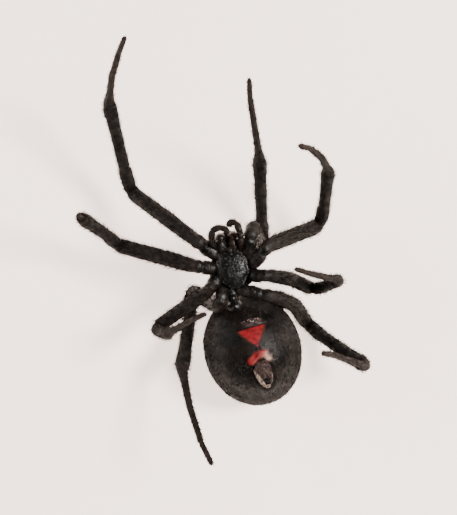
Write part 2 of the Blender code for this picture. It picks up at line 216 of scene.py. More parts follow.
# The red bar on the belly: both ends of each stretch, and half its width.
BAR = (
    ((-0.58, -0.58), (-0.12, -0.34), 0.22),
    ((-0.12, -0.34), (0.30, -0.38), 0.20),
    ((0.30, -0.38), (0.47, -0.72), 0.13),
)

# A rounded lump, as (share of the length, share of the thickness).
OVAL = ((0.0, 0.45), (0.12, 0.78), (0.35, 1.0), (0.65, 1.0), (0.88, 0.78), (1.0, 0.45))

# Colours of the skin, the marks and the hairs.
BLACK = (0.0026, 0.0024, 0.0022)
BROWN_BLACK = (0.0185, 0.0135, 0.0108)
BROWN = (0.0180, 0.0098, 0.0072)
PLATE_BLACK = (0.0085, 0.0068, 0.0062)
# LIT_MOUTH_BROWN is partly the mouth's own brown and partly painted light on the lit left side.
LIT_MOUTH_BROWN = (0.026, 0.012, 0.008)
BELLY_BROWN = (0.0095, 0.0062, 0.0050)
# RIM_REFLECTION_BROWN is a painted reflection of the bright floor at the abdomen's rim.
RIM_REFLECTION_BROWN = (0.0115, 0.0074, 0.0058)
RED = (0.29, 0.013, 0.016)
DARK_RED = (0.10, 0.005, 0.007)
PINK = (0.50, 0.13, 0.11)
# GLARE_CREAM is a painted highlight: the key light's glare on the red bar's rear end.
GLARE_CREAM = (0.56, 0.37, 0.29)
FRINGE = (0.060, 0.017, 0.010)
PLATE_DARK = (0.010, 0.005, 0.006)
PLATE_LIGHT = (0.055, 0.028, 0.028)
# GLINT_SPECK is a painted highlight: glints on the plate before the furrow.
GLINT_SPECK = (0.60, 0.49, 0.43)
# FURROW_SHADE is painted shade in the belly's furrow.
FURROW_SHADE = (0.002, 0.002, 0.002)
HAIR_BLACK = (0.0024, 0.0018, 0.0015)
HAIR_BROWN = (0.0120, 0.0082, 0.0064)
HAIR_TAN = (0.0150, 0.0082, 0.0060)
FLOOR_DARK = (0.78, 0.68, 0.62)
FLOOR_LIGHT = (0.84, 0.75, 0.69)
FLOOR_GLOW = (1.0, 0.80, 0.69, 1.0)
# Plain surfaces: dark tone, light tone, roughness and the scale of the grain.
PLAIN = {
    "claw": ((0.012, 0.008, 0.006), (0.03, 0.016, 0.01), 0.25, 20.0),
    # jaw_left and jaw_right are lit and shaded copies of one jaw colour: the left jaw's lighter red-brown is
    # painted light.
    "jaw_left": ((0.014, 0.007, 0.005), (0.055, 0.024, 0.015), 0.40, 3.5),
    "jaw_right": ((0.004, 0.003, 0.003), (0.012, 0.007, 0.005), 0.32, 3.5),
    "fang": ((0.010, 0.004, 0.003), (0.026, 0.008, 0.005), 0.22, 9.0),
    "eye": ((0.004, 0.003, 0.003), (0.012, 0.008, 0.006), 0.08, 8.0),
    "spinneret_dark": ((0.022, 0.012, 0.013), (0.095, 0.053, 0.046), 0.55, 6.0),
    "spinneret_pale": ((0.12, 0.085, 0.075), (0.42, 0.31, 0.24), 0.5, 6.0),
    "spinneret_dull": ((0.045, 0.030, 0.027), (0.19, 0.135, 0.11), 0.5, 6.0),
}

# Half the side of the floor, in metres.
FLOOR_HALF = 0.6

# Lights: azimuth and elevation in degrees, distance and size in metres, watts and colour.
LIGHTS = {
    "key": (-2, 53, 0.30, 0.09, 2.0, (1.0, 0.97, 0.93)),
    "left": (170, 22, 0.40, 0.25, 1.0, (1.0, 0.96, 0.92)),
    "right": (-40, 20, 0.40, 0.25, 0.02, (1.0, 0.96, 0.92)),
    "head": (80, 20, 0.40, 0.25, 0.2, (1.0, 0.96, 0.92)),
}
LIGHT_AIM = (0.6, -2.0, 0.0)
SKY = (1.0, 0.97, 0.945, 1.0)
SKY_STRENGTH = 0.12

# Camera: distance from the sternum's plane, place over the body and the width that it takes in.
CAMERA_DISTANCE = 220.0
CAMERA_PLACE = (-0.27, 0.81)
VIEW_WIDTH = 30.9

rng = np.random.default_rng(11)


def body_to_world(points):
    """From the body's millimetres to the world's metres, with nothing below the floor."""
    p = np.asarray(points, dtype=float).reshape(-1, 3)
    forward = p[:, 1] * math.cos(PITCH) - p[:, 2] * math.sin(PITCH)
    up = p[:, 1] * math.sin(PITCH) + p[:, 2] * math.cos(PITCH)
    height = np.maximum(up + FLOOR_DEPTH, 0.0)
    return np.stack((p[:, 0] - REST_POINT[0], forward - REST_POINT[1], height), axis=1) * MM


def new_object(name, data):
    obj = bpy.data.objects.new(name, data)
    bpy.context.scene.collection.objects.link(obj)
    return obj


def build(name, points, quads, tris, uv_name=None, uv=None, tan=None):
    """A mesh object from arrays, in body millimetres, with the uv of each corner and a tan value a point."""
    quads = np.asarray(quads, dtype=np.int32).reshape(-1, 4)
    tris = np.asarray(tris, dtype=np.int32).reshape(-1, 3)
    mesh = bpy.data.meshes.new(name)
    mesh.vertices.add(len(points))
    mesh.vertices.foreach_set("co", body_to_world(points).astype(np.float32).ravel())
    mesh.loops.add(quads.size + tris.size)
    mesh.loops.foreach_set("vertex_index", np.concatenate((quads.ravel(), tris.ravel())))
    starts = np.concatenate((np.arange(len(quads)) * 4, quads.size + np.arange(len(tris)) * 3))
    mesh.polygons.add(len(starts))
    mesh.polygons.foreach_set("loop_start", starts.astype(np.int32))
    mesh.update(calc_edges=True)
    if uv is not None:
        layer = mesh.uv_layers.new(name=uv_name)
        layer.uv.foreach_set("vector", np.asarray(uv, dtype=np.float32).ravel())
    if tan is not None:
        mesh.attributes.new("tan", "FLOAT", "POINT").data.foreach_set("value", np.asarray(tan, np.float32))
    mesh.shade_smooth()
    return new_object(name, mesh)


def unit(v):
    return v / np.maximum(np.linalg.norm(v, axis=-1, keepdims=True), 1e-12)


def bell(x, width):
    """A smooth swelling of height 1 round zero."""
    return np.exp(-(x / width) ** 2)


def place_piece(obj, material, slot, *nodes):
    """Gives a piece its material and its place in the part, with the nodes that it replaces."""
    obj.data.materials.append(material)
    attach(obj, "root")
    if nodes:
        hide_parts(*nodes)


def tube_faces(count, sides):
    """Quads between rings, and tris to the two middle points that come after the rings."""
    i = np.arange(count - 1)[:, None] * sides
    j = np.arange(sides)
    k = (j + 1) % sides
    quads = np.stack((i + j, i + k, i + sides + k, i + sides + j), axis=-1).reshape(-1, 4)
    last = (count - 1) * sides
    first_cap = np.stack((k, j, np.full(sides, count * sides)), axis=1)
    last_cap = np.stack((last + j, last + k, np.full(sides, count * sides + 1)), axis=1)
    return quads, np.concatenate((first_cap, last_cap))


def stacked(rings, ends=None):
    """Points, quads and tris of a closed shell over rings, shape (levels, sides, 3), and two end points."""
    if ends is None:
        ends = [rings[0].mean(axis=0), rings[-1].mean(axis=0)]
    return np.concatenate((rings.reshape(-1, 3), ends)), *tube_faces(*rings.shape[:2])


def laid(way, normal):
    """A direction laid down on the surfaces that have these normals."""
    return np.array(way) - normal * (normal @ np.array(way))[:, None]


def turned(points, yaw):
    """Points or directions turned about the body's upright axis."""
    x, y, z = np.moveaxis(np.asarray(points, dtype=float), -1, 0)
    c = math.cos(yaw)
    s = math.sin(yaw)
    return np.stack((x * c - y * s, x * s + y * c, z), axis=-1)


def globe_uv(east, north, height):
    """The unwrap of unit directions: longitude by east and north, latitude by height."""
    longitude = np.arctan2(east, north) / TURN + 0.5
    latitude = 0.5 + 0.5 * height
    return np.stack((0.01 + 0.98 * longitude, 0.01 + 0.98 * latitude), axis=1)


# Limbs

def sampled(s, places, rows):
    """Rows known at places along a path, read at lengths s."""
    return np.stack([np.interp(s, places, rows[:, k]) for k in range(3)], axis=1)


def direction(azimuth, elevation):
    a = math.radians(azimuth)
    e = math.radians(elevation)
    return Vector((math.cos(a) * math.cos(e), math.sin(a) * math.cos(e), math.sin(e)))


def turn_at(points, i):
    """Headings before and after a corner, and half the angle between them."""
    before = (points[i] - points[i - 1]).normalized()
    after = (points[i + 1] - points[i]).normalized()
    return before, after, before.angle(after) / 2


def rounded_path(corners, radii):
    """Points along a line with rounded corners, the length at each point, and the length at each corner."""
    moved = [Vector(c) for c in corners]
    for i in range(1, len(corners) - 1):
        before, after, half = turn_at(corners, i)
        if half > 0.01:
            moved[i] += (before - after).normalized() * radii[i - 1] * (1 / math.cos(half) - 1)
    points = [moved[0]]
    marks = [0]
    for i in range(1, len(moved) - 1):
        before, after, half = turn_at(moved, i)
        room = min((moved[i] - moved[i - 1]).length, (moved[i + 1] - moved[i]).length)
        cut = min(radii[i - 1] * math.tan(half), 0.48 * room)
        start = moved[i] - before * cut
        end = moved[i] + after * cut
        weight = math.cos(half)
        steps = 2 * max(1, math.ceil(math.degrees(half) / 4))
        for k in range(steps + 1):
            t = k / steps
            curve = start * (1 - t) ** 2 + moved[i] * 2 * t * (1 - t) * weight + end * t ** 2
            points.append(curve / ((1 - t) ** 2 + 2 * t * (1 - t) * weight + t ** 2))
            if k == steps // 2:
                marks.append(len(points) - 1)
    points.append(moved[-1])
    marks.append(len(points) - 1)
    lengths = [0.0]
    for a, b in zip(points, points[1:]):
        lengths.append(lengths[-1] + (b - a).length)
    return np.array([tuple(p) for p in points]), np.array(lengths), [lengths[m] for m in marks]


class Limb:
    """A round limb: centre, heading, two cross directions and radius at even steps along its path."""

    def __init__(self, corners, bends, knots, step=RING_STEP):
        """knots(stops) gives the lengths and radii of the profile from the lengths at the corners."""
        path, lengths, self.stops = rounded_path([Vector(c) for c in corners], bends)
        self.length = lengths[-1]
        self.s = np.linspace(0, self.length, max(8, round(self.length / step)))
        self.centre = self.smooth(sampled(self.s, lengths, path))
        self.heading = unit(np.gradient(self.centre, axis=0))
        self.side = np.zeros_like(self.heading)
        side = np.cross(self.heading[0], (0.3, 0.2, 0.93))
        for i, ahead in enumerate(self.heading):
            side = side - ahead * side.dot(ahead)
            side = side / np.linalg.norm(side)
            self.side[i] = side
        self.up = np.cross(self.heading, self.side)
        places, radii = knots(self.stops)
        self.radius = self.smooth(np.interp(self.s, places, radii)[:, None])[:, 0]

    @staticmethod
    def smooth(values):
        padded = np.concatenate((values[:1], values, values[-1:]))
        return 0.25 * padded[:-2] + 0.5 * padded[1:-1] + 0.25 * padded[2:]

    def at(self, s, angle, lift):
        """Place on the skin, outward direction and heading at lengths s and angles round the limb."""
        heading = unit(sampled(s, self.s, self.heading))
        side = sampled(s, self.s, self.side) * np.cos(angle)[:, None]
        outward = unit(side + sampled(s, self.s, self.up) * np.sin(angle)[:, None])
        radius = np.interp(s, self.s, self.radius) + lift
        return sampled(s, self.s, self.centre) + outward * radius[:, None], outward, heading

    def shell(self, sides=LEG_SIDES):
        """Points, quads and tris of the closed limb."""
        angle = TURN * np.arange(sides) / sides
        across = self.side[:, None] * np.cos(angle)[None, :, None]
        ring = across + self.up[:, None] * np.sin(angle)[None, :, None]
        rings = self.centre[:, None] + ring * self.radius[:, None, None]
        return stacked(rings, [self.centre[0], self.centre[-1] + self.heading[-1] * 0.02])

    def skin(self, name, tan, sides=LEG_SIDES):
        """A closed skin, its uv in millimetres round and along the limb."""
        points, quads, tris = self.shell(sides)
        j = np.arange(sides)
        girth = TURN * float(np.median(self.radius)) / sides
        u = np.stack((j, j + 1, j + 1, j), axis=-1)[None] * girth
        v = np.stack((self.s[:-1], self.s[:-1], self.s[1:], self.s[1:]), axis=-1)[:, None]
        uv = np.stack(np.broadcast_arrays(u, v), axis=-1).reshape(-1, 2)
        caps = np.zeros((2 * sides * 3, 2))
        tans = np.repeat(tan(self.s), sides)
        tans = np.concatenate((tans, tans[:1], tans[-1:]))
        return build(name, points, quads, tris, "lie", np.concatenate((uv, caps)), tans)


def leg_limb(leg):
    pair = int(leg[-1])
    root, coxa, angles = POSE[leg]
    corners = [Vector(root) - direction(*angles[0]) * ROOT_DEPTH]
    bends = []
    joints = [0]
    for i, (length, angle) in enumerate(zip((coxa + ROOT_DEPTH, *LENGTHS[pair]), angles)):
        heading = direction(*angle)
        start = corners[-1]
        end = start + heading * length
        if i in BOWS.get(leg, {}):
            across = Vector((-heading.y, heading.x, 0.0)).normalized()
            corners.append(start.lerp(end, 0.5) + across * BOWS[leg][i])
            bends.append(BOW_RADIUS)
        corners.append(end)
        joints.append(len(corners) - 1)
        if i < len(BEND_RADIUS):
            bends.append(BEND_RADIUS[i])

    def knots(stops):
        places = []
        radii = []
        for i, segment in enumerate(SEGMENTS):
            start = stops[joints[i]]
            span = stops[joints[i + 1]] - start
            for share, size in PROFILES[segment]:
                places.append(start + share * span)
                radii.append(size * THICKNESS[pair][i])
        places.append(stops[-1])
        radii.append(TIP_RADIUS)
        return places, radii

    limb = Limb(corners, bends, knots)
    limb.joints = [limb.stops[j] for j in joints]
    return limb


def leg_tan(limb):
    """How far the colour turns to brown: the soft skin of the joints a little, the foot's end most."""
    def tan(s):
        value = np.zeros_like(s)
        for joint in limb.joints[1:-1]:
            value = np.maximum(value, 0.45 * bell(s - joint, 0.12))
        foot = np.interp(s, (limb.joints[4], limb.joints[5], limb.joints[6]), (0.25, 0.7, 1.0))
        return np.maximum(value, np.where(s > limb.joints[4], foot, 0.0))
    return tan


# Hairs

def hair_mesh(name, sets):
    """A coat piece from sets of roots, outward and lie directions, lengths, lifts, widths, uvs and tans."""
    root, out, lie, length, lift, width, uv, tan = (np.concatenate(column) for column in zip(*sets))
    n = len(root)
    side = unit(np.cross(lie, out))
    lie = unit(lie + side * rng.normal(0.0, HAIR_TURN, n)[:, None])
    side = unit(np.cross(lie, out))
    start = lie * np.cos(lift)[:, None] + out * np.sin(lift)[:, None]
    over = unit(np.cross(side, start))
    over = np.where(np.sum(over * out, axis=1, keepdims=True) > 0, over, -over)
    droop = (HAIR_DROOP[0] + HAIR_DROOP[1] * rng.random(n))[:, None]
    sway = rng.normal(0.0, HAIR_SWAY, n)[:, None]
    points = np.zeros((n, HAIR_POINTS, 3))
    for level, (t, taper) in enumerate(zip(HAIR_LEVELS, HAIR_TAPER)):
        bend = -over * droop * t * abs(t) + side * sway * t * abs(t)
        centre = root + (start * t + bend) * length[:, None]
        for corner in range(3):
            angle = TURN * corner / 3
            spoke = side * math.cos(angle) + over * math.sin(angle)
            points[:, level * 3 + corner] = centre + spoke * (width * taper)[:, None]
    points[:, -1] = root + (start - over * droop + side * sway) * length[:, None]
    first = (np.arange(n) * HAIR_POINTS)[:, None, None]
    quads = (first + tube_faces(3, 3)[0]).reshape(-1, 4)
    tris = (first + np.array([(6, 7, 9), (7, 8, 9), (8, 6, 9), (2, 1, 0)])).reshape(-1, 3)
    patch = [(x, y) for y in (-0.5, 0.0, 0.3) for x in (-0.5, 0.0, 0.5)]
    offset = np.array([*patch, (0.0, 0.5)]) * PATCH
    uv_points = (uv[:, None] + offset[None]).reshape(-1, 2)
    loops = np.concatenate((quads.ravel(), tris.ravel()))
    tan = np.repeat(tan, HAIR_POINTS)
    return build(name, points.reshape(-1, 3), quads, tris, "OFBake", uv_points[loops], tan)


def hair_set(root, out, lie, length, standing, uv, tan):
    """Random lengths and lifts for roots, a few of them longer and standing."""
    n = len(root)
    stands = rng.random(n) < standing
    lengths = length * rng.uniform(0.65, 1.25, n) * np.where(stands, 1.5, 1.0)
    lifts = np.radians(np.where(stands, rng.uniform(40, 65, n), rng.uniform(14, 38, n)))
    widths = HAIR_WIDTH * rng.uniform(0.8, 1.15, n) * np.where(stands, 1.2, 1.0)
    return root, out, lie, lengths, lifts, widths, uv, tan


def grow_coat(name, material, slot, spots, keep, lie, length, standing, tan):
    """A coat piece of one tan on the kept spots, which are roots, outward directions and uvs."""
    root, out, uv = (values[keep] for values in spots)
    hairs = hair_set(root, out, unit(lie[keep]), length, standing, uv, np.full(len(root), tan))
    place_piece(hair_mesh(name + "_coat", [hairs]), material, slot)


def limb_hairs(limb, start, end, length, standing, density, column, columns, tan):
    """Hairs over a stretch of a limb. Its unwrap is one column of the unit square."""
    radius = float(np.interp((start + end) / 2, limb.s, limb.radius))
    n = max(1, round(density * TURN * radius * (end - start)))
    s = rng.uniform(start, end, n)
    angle = rng.uniform(0, TURN, n)
    root, out, heading = limb.at(s, angle, -HAIR_ROOT)
    u = (column + 0.04 + 0.92 * angle / TURN) / columns
    v = 0.02 + 0.96 * s / limb.length
    return hair_set(root, out, heading, length, standing, np.stack((u, v), axis=1), tan(s))


def make_legs(skin_material, coat_material):
    """A skin for each leg, and a coat for each side's front pair and rear pair."""
    limbs = []
    for side in ("left", "right"):
        coat = []
        for pair in (1, 2, 3, 4):
            leg = f"{side}_leg_{pair}"
            limb = leg_limb(leg)
            limbs.append(limb)
            tan = leg_tan(limb)
            nodes = [f"{leg}_{part}" for part in ("coxa", "femur", "patella", "tibia", "foot")]
            place_piece(limb.skin(leg + "_skin", tan), skin_material, "cuticle", *nodes)
            for i, segment in enumerate(SEGMENTS):
                length, standing, density = LEG_HAIRS[segment]
                start = limb.joints[i] + (0.32 * limb.joints[1] if i == 0 else 0.03)
                end = limb.joints[i + 1] - 0.03
                coat.append(limb_hairs(limb, start, end, length, standing, density, pair - 1, 4, tan))
        half = len(coat) // 2
        place_piece(hair_mesh(side + "_front_legs_coat", coat[:half]), coat_material, "cuticle")
        place_piece(hair_mesh(side + "_rear_legs_coat", coat[half:]), coat_material, "cuticle")
    return limbs


# Shells

def evenly(profile, thickness):
    """Knots of a limb whose profile is given as shares of its whole length and of its thickness."""
    def knots(stops):
        return [share * stops[-1] for share, _ in profile], [size * thickness for _, size in profile]
    return knots


def rod(start, end, thickness, profile, step=0.05, sides=24, bends=(), between=()):
    """A closed tube from start to end by way of the points between."""
    return Limb([start, *between, end], bends, evenly(profile, thickness), step).shell(sides)


def joined(shells):
    """Points, quads and tris of several closed shells together."""
    points = []
    quads = []
    tris = []
    first = 0
    for shell_points, shell_quads, shell_tris in shells:
        points.append(shell_points)
        quads.append(shell_quads + first)
        tris.append(shell_tris + first)
        first += len(shell_points)
    return np.concatenate(points), np.concatenate(quads), np.concatenate(tris)


def merged_piece(name, shells, voxel, smoothing, material, slot, *nodes):
    """A piece of one closed skin over overlapping closed shells. It gives the skin's points and quads."""
    points, quads, tris = joined(shells)
    mesh = bpy.data.meshes.new("shells")
    mesh.from_pydata(points, [], [*quads.tolist(), *tris.tolist()])
    obj = new_object("shells", mesh)
    remesh = obj.modifiers.new("merge", "REMESH")
    remesh.mode = "VOXEL"
    remesh.voxel_size = voxel
    smooth = obj.modifiers.new("smooth", "SMOOTH")
    smooth.iterations = smoothing
    skin = bpy.data.meshes.new_from_object(obj.evaluated_get(bpy.context.evaluated_depsgraph_get()))
    points = np.zeros(len(skin.vertices) * 3)
    skin.vertices.foreach_get("co", points)
    quads = np.array([tuple(f.vertices) for f in skin.polygons if len(f.vertices) == 4]).reshape(-1, 4)
    tris = np.array([tuple(f.vertices) for f in skin.polygons if len(f.vertices) == 3]).reshape(-1, 3)
    bpy.data.objects.remove(obj, do_unlink=True)
    bpy.data.meshes.remove(mesh)
    bpy.data.meshes.remove(skin)
    points = points.reshape(-1, 3)
    place_piece(build(name, points, quads, tris), material, slot, *nodes)
    return points, quads


def scatter(points, quads, density, centre):
    """Random places on quads, their outward directions, and their uvs by the directions from a centre."""
    a, b, c, d = (points[quads[:, k]] for k in range(4))
    normal = np.cross(c - a, d - b)
    area = np.linalg.norm(normal, axis=1) / 2
    n = round(area.sum() * density)
    pick = rng.choice(len(quads), n, p=area / area.sum())
    u = rng.random((n, 1))
    v = rng.random((n, 1))
    root = (a[pick] * (1 - u) + b[pick] * u) * (1 - v) + (d[pick] * (1 - u) + c[pick] * u) * v
    away = unit(root - np.asarray(centre))
    return root, unit(normal[pick]), globe_uv(away[:, 0], away[:, 1], away[:, 2])


# Abdomen

def abdomen_turn(local):
    """A direction of the abdomen's axes in the body's axes."""
    return turned(local, ABDOMEN_YAW)


def abdomen_point(local):
    """From across, forward and up of the abdomen to the body's axes."""
    return ABDOMEN_CENTRE + abdomen_turn(local)


def abdomen_relief(local):
    """Height of the belly's and back's forms over the plain oval."""
    across, forward, up = local.T
    x = across - MIDLINE
    belly = np.clip(up / 0.8, 0, 1)
    back = np.clip(-up / 0.8, 0, 1)
    line = FURROW - 0.042 * x
    height = -0.07 * bell(forward - line, 0.045) * bell(x, 1.05) * belly
    height += 0.03 * bell(forward - line - 0.16, 0.13) * bell(x, 1.2) * belly
    height += 0.10 * bell(forward - 1.72, 0.17) * bell(x - 0.20, 0.50) * belly
    height -= 0.05 * bell(forward - 1.98, 0.08) * bell(x - 0.15, 0.6) * belly
    ring = np.hypot(across - SPINNERET_POINT[0], (forward - SPINNERET_POINT[1]) * 0.62)
    height += 0.03 * bell(ring - 0.66, 0.16) * belly
    height -= 0.03 * bell(ring - 0.50, 0.12) * belly
    for place, apart in ((1.5, 0.55), (0.3, 0.72), (-0.9, 0.6)):
        for sign in (-1, 1):
            height -= 0.05 * bell(np.hypot(x - sign * apart, forward - place), 0.13) * back
    waves = np.sin(local @ np.array((2.1, 1.3, 0.7))) * np.sin(local @ np.array((-0.9, 2.3, 1.1)) + 1.0)
    return height + 0.012 * waves


def abdomen_surface(spread):
    """Points of the skin and outward normals along unit directions in the abdomen's axes."""
    size = np.array(ABDOMEN_SIZE) - COAT_DEPTH
    local = spread * size
    normal = unit(spread / size)
    return local + normal * abdomen_relief(local)[:, None], normal


def make_abdomen(skin_material, coat_material):
    """The abdomen's skin, and its fine coat all over but for the spinnerets' place."""
    work = bmesh.new()
    bmesh.ops.create_icosphere(work, subdivisions=7, radius=1.0)
    work.verts.ensure_lookup_table()
    unit_points = unit(np.array([tuple(v.co) for v in work.verts]))
    tris = np.array([[v.index for v in f.verts] for f in work.faces])
    work.free()
    local, _ = abdomen_surface(unit_points)
    skin = build("abdomen_skin", abdomen_point(local), [], tris)
    place_piece(skin, skin_material, "abdomen", "abdomen")
    spread = unit(rng.normal(size=(ABDOMEN_HAIRS, 3)))
    local, normal = abdomen_surface(spread)
    keep = np.hypot(local[:, 0] - SPINNERET_POINT[0], (local[:, 1] - SPINNERET_POINT[1] + 0.05) * 0.6) > 0.5
    keep |= local[:, 2] < 0
    spots = (
        abdomen_point(local - normal * HAIR_ROOT),
        abdomen_turn(normal),
        globe_uv(spread[:, 0], spread[:, 2], spread[:, 1]),
    )
    rear = abdomen_turn(laid((0.0, -1.0, 0.0), normal))
    grow_coat("abdomen", coat_material, "abdomen", spots, keep, rear, 0.15, 0.05, 0.0)


def make_pedicel(skin_material):
    """The stalk between thorax and abdomen, with the round knob at the abdomen's front."""
    stalk = rod((0.0, -1.35, -0.70), (0.30, -3.0, -1.35), 0.38,
                ((0.0, 0.8), (0.3, 0.95), (0.7, 1.0), (1.0, 1.5)))
    knob = rod((-0.06, -1.42, -0.48), (0.0, -1.86, -0.46), 0.27, OVAL)
    collar = rod((0.04, -1.80, -0.70), (0.20, -2.5, -0.80), 0.46, OVAL)
    merged_piece("pedicel_skin", [stalk, knob, collar], 0.03, 3, skin_material, "abdomen")


def belly_spot(across, forward, rise):
    """A place over the abdomen's belly, in the body's axes."""
    size = np.array(ABDOMEN_SIZE)
    up = size[2] * math.sqrt(1 - (across / size[0]) ** 2 - (forward / size[1]) ** 2)
    return abdomen_point(np.array([[across, forward, up + rise]]))[0]


def make_spinnerets(skins, coat_material):
    """A dark mound with the short front pair, and the long pale rear pair that closes over a dark slot."""
    cone = ((0.0, 0.8), (0.15, 1.0), (0.5, 0.95), (0.58, 0.80), (0.62, 0.86), (0.9, 0.62), (1.0, 0.35))
    dark = [
        rod(belly_spot(0.22, -0.70, -0.16), belly_spot(0.20, -1.66, -0.12), 0.54, OVAL),
        rod(belly_spot(0.05, -1.12, 0.05), belly_spot(0.14, -1.82, 0.22), 0.20, cone),
        rod(belly_spot(0.42, -1.16, 0.05), belly_spot(0.34, -1.86, 0.22), 0.19, cone),
    ]
    pale = [
        rod(belly_spot(-0.24, -1.10, -0.02), belly_spot(0.04, -2.34, 0.20), 0.165, cone, bends=(1.2,),
            between=(belly_spot(-0.16, -1.76, 0.14),)),
        rod(belly_spot(0.16, -2.20, -0.05), belly_spot(0.18, -2.44, 0.12), 0.17, OVAL),
    ]
    dull = [
        rod(belly_spot(0.60, -1.42, -0.02), belly_spot(0.36, -2.28, 0.16), 0.10, cone, bends=(1.2,),
            between=(belly_spot(0.54, -1.90, 0.10),)),
    ]
    parts = (("skin", dark, "dark", ("spinnerets",)), ("rear", pale, "pale", ()),
             ("rear_right", dull, "dull", ()))
    toward = abdomen_turn(np.array([[0.0, -1.0, 0.25]]))[0]
    for part, shells, look, nodes in parts:
        name = "spinnerets_" + part
        skin = merged_piece(name, shells, 0.02, 2, skins["spinneret_" + look], "abdomen", *nodes)
        spots = scatter(*skin, 110, belly_spot(*SPINNERET_POINT, -0.3))
        normal = spots[1]
        grow_coat(name, coat_material, "abdomen", spots, normal[:, 2] > 0.1, normal * 0.3 + toward,
                  0.15, 0.1, 0.3)


# Head and thorax

def yawed(points):
    return turned(points, HEAD_YAW)


def carapace_shell():
    """The back shield: an oval that narrows to the head, with the neck's groove and the pit behind."""
    sides = 160
    levels = np.linspace(0, 1, 60)
    angle = TURN * np.arange(sides) / sides
    y = np.sin(angle)
    x = np.cos(angle)
    narrow = 0.5 - 0.5 * np.cos(math.pi * np.maximum(y, 0))
    fullness = np.where(y > 0, 0.8, 1.0)
    outline_y = y * np.where(y > 0, CARAPACE_LENGTH[1], CARAPACE_LENGTH[0])
    width = (CARAPACE_WIDTH * (1 - narrow) + HEAD_WIDTH * narrow) * 0.985
    outline_x = np.sign(x) * np.abs(x) ** fullness * width
    scale = np.interp(levels, *zip(*CARAPACE_LEVELS))[:, None]
    px = outline_x[None] * scale
    py = CARAPACE_MIDDLE + (outline_y[None] - CARAPACE_MIDDLE) * scale
    pz = CARAPACE_RIM + (CARAPACE_TOP - CARAPACE_RIM) * levels[:, None] + np.zeros_like(px)
    height = 0.10 * bell(np.hypot(px, (py + 0.25) * 1.6), 0.30)
    beside = np.abs(px) - 0.20 - 0.42 * np.maximum(py, 0)
    height = height + 0.07 * bell(beside, 0.10) * (py > -0.1) * (py < 1.9)
    spokes = np.arctan2(np.abs(px), -(py + 0.1))
    for spoke in (0.55, 1.1, 1.65):
        height = height + 0.035 * bell(spokes - spoke, 0.13) * bell(np.hypot(px, py + 0.1) - 0.85, 0.4)
    inward = unit(np.stack((-px, -(py - CARAPACE_MIDDLE), np.full_like(px, 0.9)), axis=-1))
    height = (height * (levels[:, None] > 0.1))[..., None]
    return stacked(yawed(np.stack((px, py, pz), axis=-1)) + yawed(inward) * height)


def sternum_shell():
    """The heart-shaped breast plate over the flesh that the legs' roots sit in."""
    sides = 96
    angle = TURN * np.arange(sides) / sides
    y = np.sin(angle)
    x = np.sign(np.cos(angle)) * np.abs(np.cos(angle)) ** np.where(y > 0, 0.55, 1.0)
    x = x * (1 - 0.30 * np.maximum(-y, 0) ** 2)
    scallop = 1 - 0.03 * np.cos(8 * (angle - 0.15))
    rings = []
    for z, scale, edge in STERNUM_RINGS:
        reach = (1 + edge * (scallop - 1)) * scale
        rings.append(np.stack((STERNUM[0] * x * reach, STERNUM_MIDDLE + STERNUM[1] * y * reach,
                               np.full(sides, z)), axis=1))
    return stacked(yawed(np.array(rings)))


def make_prosoma(skin_material, coat_material):
    """Head and thorax in one skin, with the lip, the mouth plates and the flesh before the stalk."""
    shells = [
        sternum_shell(),
        carapace_shell(),
        rod((-0.22, 1.25, -1.3), (-0.22, 1.30, -0.35), 0.36, ((0.0, 0.9), (0.5, 1.0), (1.0, 0.6))),
        rod((-0.16, 0.86, -0.14), (-0.25, 1.42, 0.02), 0.19, OVAL),
        rod((0.06, 1.05, -0.26), (-0.03, 1.98, 0.0), 0.31, OVAL),
        rod((-0.64, 1.02, -0.26), (-0.78, 1.92, 0.0), 0.36, OVAL),
        rod((-0.20, -0.80, -0.75), (0.02, -1.75, -0.80), 0.52, OVAL),
        rod((-0.60, -0.70, -0.75), (-0.62, -1.35, -0.72), 0.36, OVAL),
    ]
    skin = merged_piece("prosoma_skin", shells, 0.028, 2, skin_material, "cuticle", "prosoma")
    root, normal, uv = scatter(*skin, 34, (-0.1, 0.5, -0.7))
    belly = (normal[:, 2] > 0.3) & (np.abs(root[:, 1]) < 1.9)
    keep = belly | (rng.random(len(root)) < 0.35)
    spots = (root - normal * HAIR_ROOT, normal, uv)
    grow_coat("prosoma", coat_material, "cuticle", spots, keep, laid((0.1, 1.0, 0.0), normal),
              0.17, 0.25, 0.0)


def make_chelicerae(skins, coat_material):
    """The two jaws, which hang down from the head's front, each with its fang."""
    profile = ((0.0, 0.9), (0.1, 1.0), (0.35, 1.12), (0.7, 1.02), (0.88, 0.86), (0.96, 0.62), (1.0, 0.35))
    for side, sign, x, y, thick in (("left", 1, -0.02, 2.08, 0.29), ("right", -1, -0.75, 1.95, 0.325)):
        name = "chelicera_" + side
        base = rod((x, y, CARAPACE_RIM - 0.05), (x + 0.01 * sign, y, 0.10), thick, profile)
        # Each jaw takes its own copy of the jaw colour, the left one painted lighter as the lit one.
        skin = merged_piece(name + "_skin", [base], 0.022, 1, skins["jaw_" + side], "cuticle", name)
        fang = rod((x + 0.05 * sign, y - 0.04, 0.02), (x - 0.17 * sign, y - 0.16, 0.17), 0.062,
                   ((0.0, 1.0), (0.3, 0.9), (0.7, 0.55), (1.0, 0.12)), 0.02, 16, (0.12,),
                   ((x - 0.02 * sign, y - 0.10, 0.19),))
        place_piece(build(f"fang_{side}", *fang), skins["fang"], "cuticle")
        spots = scatter(*skin, 60, (x, y, -0.4))
        root, normal, _ = spots
        keep = (root[:, 2] > -0.75) & (normal[:, 2] < 0.8)
        lie = normal * 0.2 + np.array((0.0, 0.0, 1.0))
        grow_coat(name, coat_material, "cuticle", spots, keep, lie, 0.16, 0.2, 0.4)


